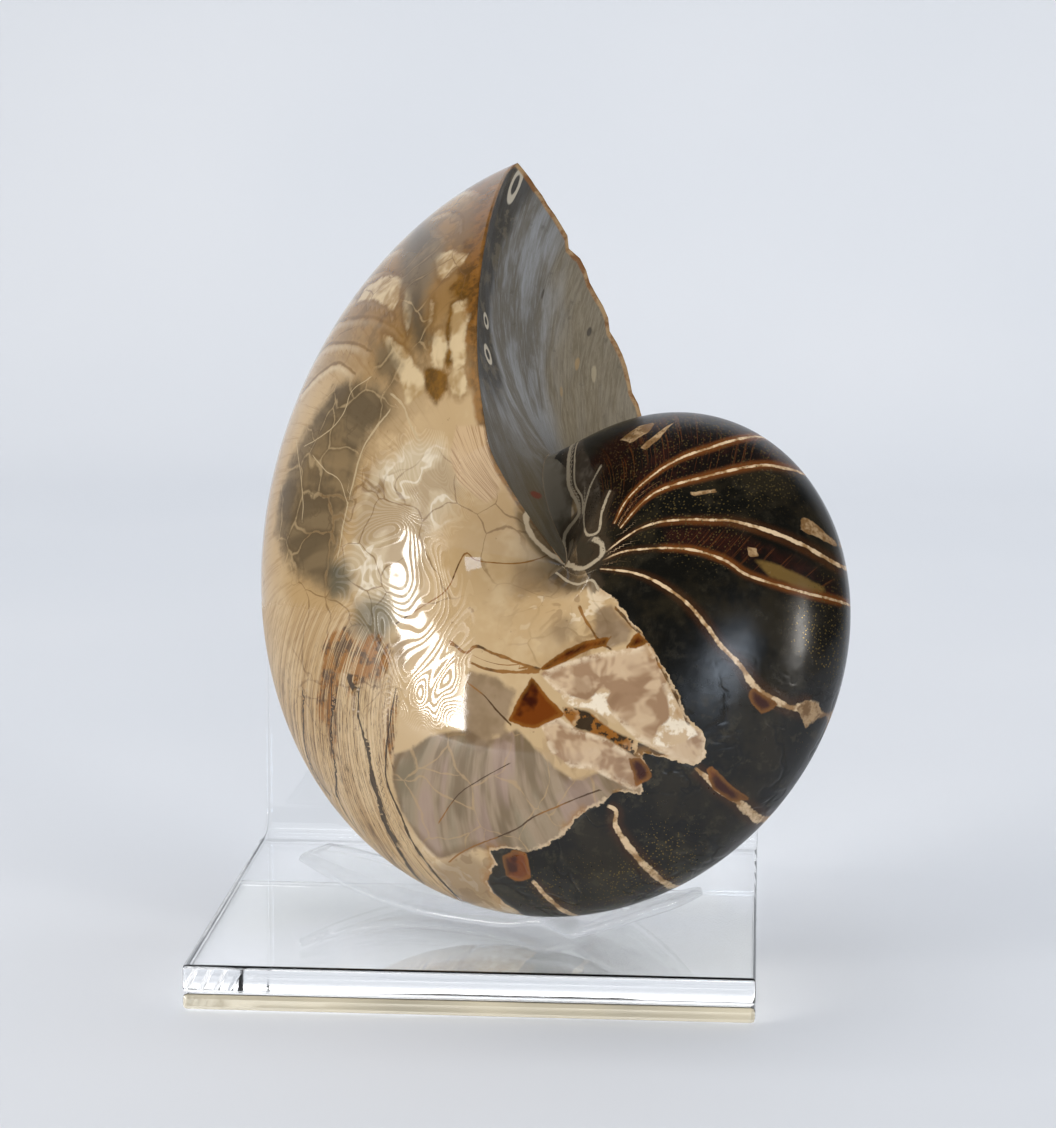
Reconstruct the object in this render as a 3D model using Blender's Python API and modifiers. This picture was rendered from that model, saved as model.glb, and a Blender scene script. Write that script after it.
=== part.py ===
"""A whole polished fossil nautilus standing in a clear cradle on a clear stand.

Metres, +Z up, the front of the stand faces -Y. The origin is the middle of
the underside of the lower base plate.
"""

import math

import bmesh
import bpy
import numpy as np

# Driving sizes of the stand, in metres
BASE_WIDTH = 0.120
PLATE_DEPTH = 0.0786
PLATE_THICK = 0.0034
PLATE_CHAMFER = 0.0009
SHEET_THICK = 0.0060
SHEET_FLAT = 0.1160
SHEET_BEND = 0.0060
SHEET_HEIGHT = 0.0640
SHEET_BEVEL = 0.0008
GAP = 0.0003

# Driving sizes of the cradle, in metres, along its own length
CRADLE_THICK = 0.0020
CRADLE_LEFT = -0.0540
CRADLE_RIGHT = 0.0400
CRADLE_FRONT = -0.0030
CRADLE_REACH = 0.0240
CRADLE_FOOT = 0.0150

# The fossil: where its coil sits, how it is turned, and its spiral
COIL_X = 0.01753
COIL_Y = 0.04881
COIL_Z = 0.07484
COIL_YAW = math.radians(24.424)
COIL_LEAN = math.radians(18.012)
MOUTH_ANGLE = math.radians(106.961)
SPIRAL = (4.58318, -0.60403, -10.87010, 50.34323, -24.99951, -253.61873,
          608.54805, -548.18062, 178.16263)
HALF_WIDTH = 0.38995
WIDTH_DRIFT = -0.05178
WIDEST = 0.31729
MOUTH_POINT = 1.83374
MOUTH_ROOT = 1.18581
AXIS_SHARE = 0.94723
LIP_SLOPE = -12.06203
LIP_CURVE = 10.53973
POLE_HEIGHT = 0.01617
POLE_X = 0.00747
POLE_Z = 0.00116
MOUTH_DEPTH = 0.0110

# How finely the fossil is cut into faces
AROUND = 72
ACROSS = 20
INTO_MOUTH = 7

# Where the front edge and the top of the stand are
FRONT_Y = -PLATE_DEPTH / 2.0
TOP_Z = PLATE_THICK + GAP + SHEET_THICK


def clear_scene():
    for ob in list(bpy.data.objects):
        bpy.data.objects.remove(ob, do_unlink=True)


def make_collection(name):
    made = bpy.data.collections.new(name)
    bpy.context.scene.collection.children.link(made)
    return made


def make_material(name, colour, roughness, clear):
    mat = bpy.data.materials.new(name)
    mat.use_nodes = True
    shader = mat.node_tree.nodes["Principled BSDF"]
    shader.inputs["Base Color"].default_value = (colour[0], colour[1], colour[2], 1.0)
    shader.inputs["Roughness"].default_value = roughness
    shader.inputs["IOR"].default_value = 1.49
    if clear:
        shader.inputs["Transmission Weight"].default_value = 1.0
    return mat


def add_object(name, mesh, mat, collection):
    ob = bpy.data.objects.new(name, mesh)
    mesh.materials.append(mat)
    collection.objects.link(ob)
    return ob


def smooth(ob, degrees):
    for face in ob.data.polygons:
        face.use_smooth = True
    ob.data.set_sharp_from_angle(angle=math.radians(degrees))


def bake(ob):
    """Replaces the object's mesh by its modified mesh."""
    graph = bpy.context.evaluated_depsgraph_get()
    baked = bpy.data.meshes.new_from_object(ob.evaluated_get(graph))
    ob.modifiers.clear()
    ob.data = baked


def add_bevel(ob, width, segments, degrees):
    mod = ob.modifiers.new("Bevel", "BEVEL")
    mod.width = width
    mod.segments = segments
    mod.limit_method = "ANGLE"
    mod.angle_limit = math.radians(degrees)


# The lower base plate, a flat clear block with its edges taken off
def build_plate(collection, mat):
    bm = bmesh.new()
    bmesh.ops.create_cube(bm, size=1.0)
    bmesh.ops.scale(bm, vec=(BASE_WIDTH, PLATE_DEPTH, PLATE_THICK), verts=bm.verts)
    bmesh.ops.translate(bm, vec=(0.0, 0.0, PLATE_THICK / 2.0), verts=bm.verts)
    mesh = bpy.data.meshes.new("base_plate")
    bm.to_mesh(mesh)
    bm.free()
    ob = add_object("base_plate", mesh, mat, collection)
    add_bevel(ob, PLATE_CHAMFER, 2, 40.0)
    bake(ob)
    smooth(ob, 40.0)
    return ob


# The bent sheet, one clear sheet that lies on the plate and turns up behind
def sheet_profile():
    """Points of the sheet's middle line in (y, z), front edge to top edge."""
    half = SHEET_THICK / 2.0
    radius = SHEET_BEND + half
    start_y = FRONT_Y + SHEET_FLAT
    mid_z = TOP_Z - half
    points = [(FRONT_Y, mid_z), (start_y, mid_z)]
    for step in range(1, 9):
        turn = math.pi / 2.0 * step / 8.0
        points.append((start_y + radius * math.sin(turn), mid_z + radius * (1.0 - math.cos(turn))))
    points.append((start_y + radius, TOP_Z + SHEET_HEIGHT))
    return points


def build_sheet(collection, mat):
    bm = bmesh.new()
    half = BASE_WIDTH / 2.0
    rows = []
    for y, z in sheet_profile():
        left = bm.verts.new((-half, y, z))
        right = bm.verts.new((half, y, z))
        rows.append((left, right))
    for lower, upper in zip(rows[:-1], rows[1:]):
        bm.faces.new((lower[0], lower[1], upper[1], upper[0]))
    mesh = bpy.data.meshes.new("back_sheet")
    bm.to_mesh(mesh)
    bm.free()
    ob = add_object("back_sheet", mesh, mat, collection)
    solid = ob.modifiers.new("Solidify", "SOLIDIFY")
    solid.thickness = SHEET_THICK
    solid.offset = 0.0
    solid.use_even_offset = True
    add_bevel(ob, SHEET_BEVEL, 2, 60.0)
    bake(ob)
    smooth(ob, 40.0)
    return ob


# The fossil nautilus, one solid: coiled outer wall, cupped mouth, two axis dimples
def spiral_radius(turn):
    """Distance from the coil axis to the outer edge after a share of a turn."""
    return np.exp(np.polyval(SPIRAL[::-1], turn)) / 1000.0


def section_height(share, turn, radius):
    """Half width of the whorl at a share of its radius from the coil axis."""
    blend = np.clip(turn * 360.0 / 110.0, 0.0, 1.0)
    blend = blend * blend * (3.0 - 2.0 * blend)
    point = MOUTH_POINT * (1.0 - blend) + 2.0 * blend
    root = MOUTH_ROOT * (1.0 - blend) + 1.9 * blend
    outer = np.clip((share - WIDEST) / (1.0 - WIDEST), 0.0, 1.0)
    inner = np.clip((WIDEST - share) / WIDEST, 0.0, 1.0)
    shape = np.where(
        share >= WIDEST,
        np.clip(1.0 - outer ** point, 0.0, 1.0) ** (1.0 / root),
        1.0 - (1.0 - AXIS_SHARE) * inner ** 2.0,
    )
    width = (HALF_WIDTH + WIDTH_DRIFT * (turn * 2.0 - 1.0)) * radius
    near_axis = np.clip(1.0 - share / 0.22, 0.0, 1.0) ** 1.5
    return width * shape * (1.0 - near_axis) + near_axis * POLE_HEIGHT


def coil_axes():
    """The coil's right, away and up directions in the stand's frame."""
    right = np.array([math.cos(COIL_YAW), -math.sin(COIL_YAW), 0.0])
    away = np.array([math.sin(COIL_YAW), math.cos(COIL_YAW), 0.0])
    up = np.array([0.0, 0.0, 1.0])
    axis = away * math.cos(COIL_LEAN) - up * math.sin(COIL_LEAN)
    rise = up * math.cos(COIL_LEAN) + away * math.sin(COIL_LEAN)
    return right, axis, rise


def coil_point(turn, share, side, back=0.0):
    """A point of the outer wall, for arrays of turn, share of radius and side."""
    right, axis, rise = coil_axes()
    radius = spiral_radius(turn)
    height = section_height(share, turn, radius) * side
    angle = MOUTH_ANGLE + turn * 2.0 * math.pi
    pull = (1.0 - share) ** 2.0
    along = radius * share * np.cos(angle) + POLE_X * pull - back * np.sin(angle)
    level = radius * share * np.sin(angle) + POLE_Z * pull + back * np.cos(angle)
    centre = np.array([COIL_X, COIL_Y + FRONT_Y, COIL_Z + TOP_Z])
    return centre + along[..., None] * right + level[..., None] * rise + height[..., None] * axis


def lip_turn(share):
    """How far round the lip stands from the mouth's plane, in turns."""
    return (LIP_SLOPE * (1.0 - share) + LIP_CURVE * (1.0 - share) ** 2.0) / 360.0


def build_nautilus(collection, mat):
    half_steps = np.sin(np.linspace(0.0, 1.0, ACROSS + 1) * math.pi / 2.0)[1:]
    share = np.concatenate([half_steps, half_steps[-2::-1]])
    side = np.concatenate([-np.ones(ACROSS), np.ones(ACROSS - 1)])
    step = np.linspace(0.0, 1.0, AROUND + 1)[:, None]
    lip = lip_turn(share)[None, :]
    turn = lip + (1.0 - lip) * step
    wall = coil_point(turn, share[None, :] + 0.0 * step, side[None, :] + 0.0 * step)
    outer = wall[0]
    inner = wall[-1]
    right, axis, rise = coil_axes()
    backward = -math.sin(MOUTH_ANGLE) * right + math.cos(MOUTH_ANGLE) * rise
    mouth = []
    for row in range(1, INTO_MOUTH):
        part = row / INTO_MOUTH
        cup = MOUTH_DEPTH * math.sin(math.pi * part) ** 0.8 * share ** 0.5
        mouth.append(outer * (1.0 - part) + inner * part + cup[:, None] * backward)
    ring_rows = list(wall) + mouth[::-1]
    poles = coil_point(np.zeros(2) + 0.5, np.zeros(2), np.array([-1.0, 1.0]))
    bm = bmesh.new()
    grid = [[bm.verts.new(p) for p in row] for row in ring_rows]
    near = bm.verts.new(poles[0])
    far = bm.verts.new(poles[1])
    count = len(grid)
    for i in range(count):
        a = grid[i]
        b = grid[(i + 1) % count]
        for k in range(len(a) - 1):
            bm.faces.new((a[k], b[k], b[k + 1], a[k + 1]))
        bm.faces.new((near, b[0], a[0]))
        bm.faces.new((far, a[-1], b[-1]))
    bmesh.ops.recalc_face_normals(bm, faces=bm.faces)
    mesh = bpy.data.meshes.new("nautilus")
    bm.to_mesh(mesh)
    bm.free()
    ob = add_object("nautilus", mesh, mat, collection)
    smooth(ob, 38.0)
    return ob


# The cradle, a clear strip bent to follow the shell, with one low foot
def cradle_level(along):
    """Height of the strip's middle above the base, from its place along it."""
    lowest = 0.0013
    bend = np.clip((-0.012 - along) / 0.042, 0.0, 1.0)
    wave = np.exp(-(((along - 0.007) / 0.006) ** 2.0))
    left = lowest + 0.0087 * bend ** 2.2 + 0.0017 * wave
    rise = np.clip(along - CRADLE_FOOT, 0.0, 1.0)
    right = lowest + 0.38 * rise + 1.5 * rise ** 2.0
    ease = np.clip((along - 0.0095) / (CRADLE_FOOT - 0.0095), 0.0, 1.0)
    ease = ease * ease * (3.0 - 2.0 * ease)
    return np.where(along < CRADLE_FOOT, left * (1.0 - ease) + lowest * ease, right)


def build_cradle(collection, mat):
    along = np.linspace(CRADLE_LEFT, CRADLE_RIGHT, 47)
    middle = (CRADLE_LEFT + CRADLE_RIGHT) / 2.0
    reach = (CRADLE_RIGHT - CRADLE_LEFT) / 2.0 * 1.04
    back = 0.003 + CRADLE_REACH * np.sqrt(1.0 - ((along - middle) / reach) ** 2.0)
    level = cradle_level(along)
    right, axis, rise = coil_axes()
    away = np.array([math.sin(COIL_YAW), math.cos(COIL_YAW), 0.0])
    middle_point = np.array([0.0079, 0.0345 + FRONT_Y, TOP_Z])
    bm = bmesh.new()
    rows = []
    for u, w, z in zip(along, back, level):
        place = middle_point + u * right + np.array([0.0, 0.0, z])
        row = []
        for part in (0.0, 0.5, 1.0):
            row.append(bm.verts.new(place + away * (CRADLE_FRONT * (1.0 - part) + w * part)))
        rows.append(row)
    for a, b in zip(rows[:-1], rows[1:]):
        for k in range(2):
            bm.faces.new((a[k], b[k], b[k + 1], a[k + 1]))
    mesh = bpy.data.meshes.new("cradle")
    bm.to_mesh(mesh)
    bm.free()
    ob = add_object("cradle", mesh, mat, collection)
    solid = ob.modifiers.new("Solidify", "SOLIDIFY")
    solid.thickness = CRADLE_THICK
    solid.offset = 0.0
    solid.use_even_offset = True
    add_bevel(ob, 0.0004, 1, 60.0)
    bake(ob)
    smooth(ob, 40.0)
    return ob


def build():
    clear_scene()
    collection = make_collection("fossil_nautilus_on_stand")
    stone = make_material("fossil_shell", (0.42, 0.31, 0.22), 0.18, False)
    clear = make_material("clear_sheet", (0.93, 0.94, 0.93), 0.03, True)
    tinted = make_material("clear_plate", (0.95, 0.92, 0.84), 0.05, True)
    formed = make_material("clear_cradle", (0.93, 0.94, 0.94), 0.04, True)
    build_plate(collection, tinted)
    build_sheet(collection, clear)
    build_cradle(collection, formed)
    build_nautilus(collection, stone)


build()
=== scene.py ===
"""Looks of a whole polished fossil nautilus on its clear stand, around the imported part.

Metres, +Z up, the front of the stand faces -Y. Colours are written as screen values, 0 to 255.
"""

import math

import bpy
import numpy as np
from mathutils import Matrix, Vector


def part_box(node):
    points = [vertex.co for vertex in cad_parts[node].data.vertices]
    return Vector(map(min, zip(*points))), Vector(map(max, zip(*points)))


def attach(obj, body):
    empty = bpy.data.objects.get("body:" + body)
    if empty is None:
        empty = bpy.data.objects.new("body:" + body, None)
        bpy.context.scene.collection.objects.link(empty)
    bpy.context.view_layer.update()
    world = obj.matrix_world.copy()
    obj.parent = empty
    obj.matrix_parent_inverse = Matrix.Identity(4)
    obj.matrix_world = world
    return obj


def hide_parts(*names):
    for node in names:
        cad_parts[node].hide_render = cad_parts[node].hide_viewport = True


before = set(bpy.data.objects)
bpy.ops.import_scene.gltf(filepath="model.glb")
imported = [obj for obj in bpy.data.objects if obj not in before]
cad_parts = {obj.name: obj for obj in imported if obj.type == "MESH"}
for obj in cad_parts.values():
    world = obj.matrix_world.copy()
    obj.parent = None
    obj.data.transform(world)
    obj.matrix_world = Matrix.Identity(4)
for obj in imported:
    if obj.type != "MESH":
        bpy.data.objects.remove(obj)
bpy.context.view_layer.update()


# The lower base plate
# The thin lower sheet of the stand: a plain block of clear cast plastic with a
# faint warm tint, milky along its sawn front edge.
plate_low, plate_high = (np.array(corner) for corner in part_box("base_plate"))
PLATE_BEVEL = 0.0009
RIM_START = 0.0009
RIM_FULL = 0.0003


class Value:
    """A number, colour or vector in a node tree, which sums and products can be made with."""

    def __init__(self, tree, socket):
        self.tree = tree
        self.socket = socket

    def math(self, kind, *others):
        node = self.tree.nodes.new("ShaderNodeMath")
        node.operation = kind
        for place, item in enumerate((self,) + others):
            feed(self.tree, node.inputs[place], item)
        return Value(self.tree, node.outputs[0])

    def __add__(self, other):
        return self.math("ADD", other)

    def __radd__(self, other):
        return self.math("ADD", other)

    def __sub__(self, other):
        return self.math("SUBTRACT", other)

    def __rsub__(self, other):
        return self.math("MULTIPLY_ADD", -1.0, other)

    def __mul__(self, other):
        return self.math("MULTIPLY", other)

    def __rmul__(self, other):
        return self.math("MULTIPLY", other)

    def __truediv__(self, other):
        return self.math("DIVIDE", other)

    def __abs__(self):
        return self.math("ABSOLUTE")

    def power(self, other):
        return self.math("POWER", other)

    def fract(self):
        return self.math("FRACT")

    def rise(self, start, end):
        """0 below start and 1 above end with a soft step between; start may be above end."""
        node = self.tree.nodes.new("ShaderNodeMapRange")
        node.interpolation_type = "SMOOTHSTEP"
        flipped = start > end
        feed(self.tree, node.inputs["Value"], self)
        node.inputs["From Min"].default_value = end if flipped else start
        node.inputs["From Max"].default_value = start if flipped else end
        node.inputs["To Min"].default_value = 1.0 if flipped else 0.0
        node.inputs["To Max"].default_value = 0.0 if flipped else 1.0
        return Value(self.tree, node.outputs["Result"])

    def tones(self, start, end, first, second):
        """From a first colour to a second as the number goes from start to end."""
        return mixed(self.tree, self.rise(start, end), first, second)

    def under(self, part, colour):
        """This colour with a second one over it by a part of 0 to 1."""
        return mixed(self.tree, part, self, colour)


def feed(tree, socket, item):
    """Links a Value to a socket, or sets the socket to a number or a tuple."""
    if isinstance(item, Value):
        tree.links.new(item.socket, socket)
    elif hasattr(item, "__len__") and len(socket.default_value) == 4:
        socket.default_value = linear(item)
    else:
        socket.default_value = item


def linear(colour):
    """A screen colour of 0 to 255 as the linear colour that a node takes."""
    parts = [(c / 255.0 / 12.92) if c < 10.3 else ((c / 255.0 + 0.055) / 1.055) ** 2.4 for c in colour]
    return (parts[0], parts[1], parts[2], 1.0)


def mixed(tree, part, first, second):
    """The second colour over the first by a part of 0 to 1."""
    node = tree.nodes.new("ShaderNodeMix")
    node.data_type = "RGBA"
    feed(tree, node.inputs[0], part)
    feed(tree, node.inputs[6], first)
    feed(tree, node.inputs[7], second)
    return Value(tree, node.outputs[2])


class Paint:
    """One material; node() adds any node, and the rest are the few patterns used here."""

    def __init__(self, name, **values):
        self.mat = bpy.data.materials.new(name)
        self.mat.use_nodes = True
        self.tree = self.mat.node_tree
        self.shader = self.tree.nodes["Principled BSDF"]
        self.colour = None
        self.set(**values)

    def fill(self, node, values):
        """Feeds the sockets of a node: Base_Color=..., Roughness=... and so on."""
        for name, item in values.items():
            feed(self.tree, node.inputs[name.replace("_", " ")], item)

    def set(self, **values):
        """Feeds the sockets of the material's own shader."""
        self.fill(self.shader, values)

    def node(self, kind, output=0, settings=None, **inputs):
        """Any node: its type, the output to use, its settings, then the values of its inputs."""
        node = self.tree.nodes.new(kind)
        for name, item in (settings or {}).items():
            setattr(node, name, item)
        self.fill(node, inputs)
        return Value(self.tree, node.outputs[output])

    def place(self):
        return self.node("ShaderNodeTexCoord", "Object")

    def attribute(self, name):
        return self.node("ShaderNodeAttribute", "Fac", {"attribute_name": name})

    def part(self, vector, axis):
        """One number of a vector: its X, Y or Z."""
        return self.node("ShaderNodeSeparateXYZ", axis, {}, Vector=vector)

    def stretch(self, vector, x, y, z):
        return self.node("ShaderNodeMapping", 0, {}, Vector=vector, Scale=(x, y, z))

    def noise(self, vector, scale, detail=2.0, rough=0.5, warp=0.0):
        return self.node("ShaderNodeTexNoise", "Fac", {}, Vector=vector, Scale=scale,
                         Detail=detail, Roughness=rough, Distortion=warp)

    def flat_noise(self, x, y, detail=2.0, rough=0.5):
        """Noise on two numbers, one step of it to each unit of them."""
        return self.node("ShaderNodeTexNoise", "Fac", {"noise_dimensions": "2D"}, Vector=self.join(x, y),
                         Scale=1.0, Detail=detail, Roughness=rough)

    def cells(self, vector, scale, feature="F1"):
        settings = {"feature": feature}
        return self.node("ShaderNodeTexVoronoi", "Distance", settings, Vector=vector, Scale=scale)

    def join(self, x, y, z=0.0):
        return self.node("ShaderNodeCombineXYZ", 0, {}, X=x, Y=y, Z=z)

    def lay(self, part, colour):
        """Lays a colour over the colour so far, by a part of 0 to 1."""
        self.colour = mixed(self.tree, part, self.colour, colour)

    def vector_math(self, kind, *items):
        """One step of arithmetic on vectors."""
        node = self.tree.nodes.new("ShaderNodeVectorMath")
        node.operation = kind
        for place, item in enumerate(items):
            feed(self.tree, node.inputs[place], item)
        return Value(self.tree, node.outputs[0])

    def warped(self, vector, scale, amount):
        """The place moved about by up to an amount, so that cells and lines bend."""
        shift = self.node("ShaderNodeTexNoise", "Color", {}, Vector=vector, Scale=scale, Detail=2.0)
        centred = self.vector_math("SUBTRACT", shift, (0.5, 0.5, 0.5))
        return self.vector_math("MULTIPLY_ADD", centred, (amount, amount, amount), vector)

    def blend(self, part, **values):
        """A second shader over the first by a part of 0 to 1."""
        second = self.tree.nodes.new("ShaderNodeBsdfPrincipled")
        self.fill(second, values)
        both = self.tree.nodes.new("ShaderNodeMixShader")
        feed(self.tree, both.inputs[0], part)
        self.tree.links.new(self.shader.outputs[0], both.inputs[1])
        self.tree.links.new(second.outputs[0], both.inputs[2])
        self.tree.links.new(both.outputs[0], self.tree.nodes["Material Output"].inputs["Surface"])

    def bump(self, height, distance):
        return self.node("ShaderNodeBump", 0, {}, Height=height, Distance=distance)


def clear_paint(name, tint, depth, haze, cover, rim=None):
    """Clear plastic: plain transmission with a little colour, faint hand marks in its gloss.

    A rim colour, if given, shows only on the sawn front edge, which is milky.
    """
    paint = Paint(name, IOR=1.49, Transmission_Weight=1.0, Alpha=cover)
    spot = paint.place()
    smear = paint.noise(paint.stretch(spot, 1.0, 0.35, 1.0), 90.0, 3.0, 0.6)
    clean = paint.noise(spot, 24.0, 2.0)
    dull = haze + smear.rise(0.5, 0.8) * 0.03
    paint.colour = mixed(paint.tree, clean.rise(0.35, 0.65) * depth, (255, 255, 255), tint)
    if rim:
        front = paint.part(spot, "Y").rise(plate_low[1] + RIM_START, plate_low[1] + RIM_FULL)
        paint.lay(front, rim)
        dull = dull + front * 0.1
        paint.blend(front * (clean * 0.9 + 0.05), Base_Color=rim, Roughness=0.5)
    paint.set(Base_Color=paint.colour, Roughness=dull)
    return paint.mat


def add_mesh(name, points, faces):
    """A mesh from points and faces, in an object of the same name."""
    mesh = bpy.data.meshes.new(name)
    mesh.from_pydata(points, [], faces)
    ob = bpy.data.objects.new(name, mesh)
    bpy.context.collection.objects.link(ob)
    return ob


def block(name, low, high, bevel, segments):
    """A box between two corners with its edges rounded."""
    corners = [[(low, high)[(n >> axis) & 1][axis] for axis in range(3)] for n in range(8)]
    faces = [(0, 2, 3, 1), (4, 5, 7, 6), (0, 1, 5, 4), (2, 6, 7, 3), (0, 4, 6, 2), (1, 3, 7, 5)]
    ob = add_mesh(name, corners, faces)
    edge = ob.modifiers.new("Rounded edges", "BEVEL")
    edge.width = bevel
    edge.segments = segments
    return ob


def smooth(ob, degrees):
    """Smooth shading, but for edges sharper than an angle."""
    for face in ob.data.polygons:
        face.use_smooth = True
    ob.data.set_sharp_from_angle(angle=math.radians(degrees))


plate = block("lower_plate", plate_low, plate_high, PLATE_BEVEL, 2)
warm_plastic = clear_paint("warm clear plastic", (255, 254, 250), 1.0, 0.015, 1.0, (250, 236, 205))
plate.data.materials.append(warm_plastic)
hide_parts("base_plate")
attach(plate, "root")
# Light goes straight through the clear pieces, so that they cast no dark shadow
plate.visible_shadow = False


# The bent sheet
# One clear sheet, heat-bent up at its back. It lies on the lower plate, makes the
# top of the base and stands up behind the fossil as a low upright.
sheet_low, sheet_high = (np.array(corner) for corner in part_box("back_sheet"))
SHEET_THICK = 0.0060
SHEET_BEND = 0.0060
SHEET_EDGE = 0.0008
BEND_STEPS = 28
TOP_Z = sheet_low[2] + SHEET_THICK


def bent_sheet():
    """Middle line: straight back, a quarter circle of the bend, straight up; then thickened."""
    half = SHEET_THICK / 2.0
    radius = SHEET_BEND + half
    start = sheet_high[1] - half - radius
    turn = np.linspace(0.0, math.pi / 2.0, BEND_STEPS)
    y = np.concatenate([[sheet_low[1]], start + radius * np.sin(turn), [start + radius]])
    z = np.concatenate([[0.0], radius * (1.0 - np.cos(turn)), [sheet_high[2] - sheet_low[2] - half]])
    z = z + sheet_low[2] + half
    count = len(y)
    left = np.stack([np.full(count, sheet_low[0]), y, z], 1)
    right = left * (-1.0, 1.0, 1.0)
    faces = [(n, n + count, n + count + 1, n + 1) for n in range(count - 1)]
    ob = add_mesh("bent_sheet", np.concatenate([left, right]).tolist(), faces)
    smooth(ob, 40.0)
    wall = ob.modifiers.new("Thickness", "SOLIDIFY")
    wall.thickness = SHEET_THICK
    wall.offset = 0.0
    wall.use_even_offset = True
    edge = ob.modifiers.new("Rounded edges", "BEVEL")
    edge.width = SHEET_EDGE
    edge.segments = 2
    edge.harden_normals = True
    edge.limit_method = "ANGLE"
    edge.angle_limit = math.radians(60.0)
    return ob


sheet = bent_sheet()
sheet.data.materials.append(clear_paint("clear plastic", (253, 254, 254), 0.8, 0.008, 1.0))
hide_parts("back_sheet")
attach(sheet, "root")
sheet.visible_shadow = False


# The fossil nautilus
# One natural piece, ground and polished all over: cream and brown shell on the body
# chamber, near-black mineral filling with thin chamber walls behind it, grey
# sediment in the open mouth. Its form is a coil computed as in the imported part.
COIL_X = 0.01753
COIL_Y = 0.00951
COIL_Z = TOP_Z + 0.07484
COIL_YAW = math.radians(24.424)
COIL_LEAN = math.radians(18.012)
MOUTH_ANGLE = math.radians(106.961)
SPIRAL = (4.58318, -0.60403, -10.87010, 50.34323, -24.99951, -253.61873,
          608.54805, -548.18062, 178.16263)
HALF_WIDTH = 0.38995
WIDTH_DRIFT = -0.05178
WIDEST = 0.31729
MOUTH_POINT = 1.83374
MOUTH_ROOT = 1.18581
AXIS_SHARE = 0.94723
LIP_SLOPE = -12.06203
LIP_CURVE = 10.53973
POLE_HEIGHT = 0.01617
POLE_X = 0.00747
POLE_Z = 0.00116
MOUTH_DEPTH = 0.0110
AROUND = 430
NEAR_ROWS = 150
FAR_ROWS = 44
MOUTH_ROWS = 26
FOOT_TURN = 0.93
AXIS_PLACE = (11.0, 4.0)
LIP_CHIPS = 0.0011
EASED_DEGREES = 110.0
NEAR_AXIS = 0.22
FAR_AWAY = 1e9
LINE_REACH = 1.9


def spiral_radius(turn):
    """Distance from the coil axis to the outer edge: e to a polynomial of the turn, in mm."""
    return np.exp(np.polyval(SPIRAL[::-1], turn)) / 1000.0


def section_height(share, turn, radius):
    """Half width of the whorl at a share of its radius: a rounded power curve, eased to the axis."""
    blend = np.clip(turn * 360.0 / EASED_DEGREES, 0.0, 1.0)
    blend = blend * blend * (3.0 - 2.0 * blend)
    point = MOUTH_POINT * (1.0 - blend) + 2.0 * blend
    root = MOUTH_ROOT * (1.0 - blend) + 1.9 * blend
    outer = np.clip((share - WIDEST) / (1.0 - WIDEST), 0.0, 1.0)
    inner = np.clip((WIDEST - share) / WIDEST, 0.0, 1.0)
    rounded = np.clip(1.0 - outer ** point, 0.0, 1.0) ** (1.0 / root)
    shape = np.where(share >= WIDEST, rounded, 1.0 - (1.0 - AXIS_SHARE) * inner ** 2.0)
    width = (HALF_WIDTH + WIDTH_DRIFT * (turn * 2.0 - 1.0)) * radius
    near_axis = np.clip(1.0 - share / NEAR_AXIS, 0.0, 1.0) ** 1.5
    return width * shape * (1.0 - near_axis) + near_axis * POLE_HEIGHT


def coil_axes():
    """The coil's right, axis and rise directions, from its yaw and its lean."""
    right = np.array([math.cos(COIL_YAW), -math.sin(COIL_YAW), 0.0])
    away = np.array([math.sin(COIL_YAW), math.cos(COIL_YAW), 0.0])
    up = np.array([0.0, 0.0, 1.0])
    axis = away * math.cos(COIL_LEAN) - up * math.sin(COIL_LEAN)
    rise = up * math.cos(COIL_LEAN) + away * math.sin(COIL_LEAN)
    return right, axis, rise


def coil_plane(turn, share):
    """Place in the coil's plane: the radius times the share at the turn's angle, pulled to the axis."""
    radius = spiral_radius(turn)
    angle = MOUTH_ANGLE + turn * 2.0 * math.pi
    pull = (1.0 - share) ** 2.0
    along = radius * share * np.cos(angle) + POLE_X * pull
    level = radius * share * np.sin(angle) + POLE_Z * pull
    return along, level


def coil_point(turn, share, side):
    """A point of the outer wall: its place in the coil's plane and its height along the axis."""
    right, axis, rise = coil_axes()
    along, level = coil_plane(turn, share)
    height = section_height(share, turn, spiral_radius(turn)) * side
    centre = np.array([COIL_X, COIL_Y, COIL_Z])
    return centre + along[..., None] * right + level[..., None] * rise + height[..., None] * axis


def lip_turn(share):
    """How far round the lip stands from the mouth's plane, a parabola of the share, in turns."""
    return (LIP_SLOPE * (1.0 - share) + LIP_CURVE * (1.0 - share) ** 2.0) / 360.0


def even_shares(count):
    """Shares of the radius that cut the wall's section into steps of equal length."""
    fine = np.sin(np.linspace(0.0, math.pi / 2.0, 4000))
    turn = np.full(len(fine), 0.3)
    radius = spiral_radius(turn)
    steps = np.hypot(np.diff(fine * radius), np.diff(section_height(fine, turn, radius)))
    length = np.concatenate([[0.0], np.cumsum(steps)])
    return np.interp(np.linspace(0.0, length[-1], count + 1), length, fine)[1:]


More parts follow.
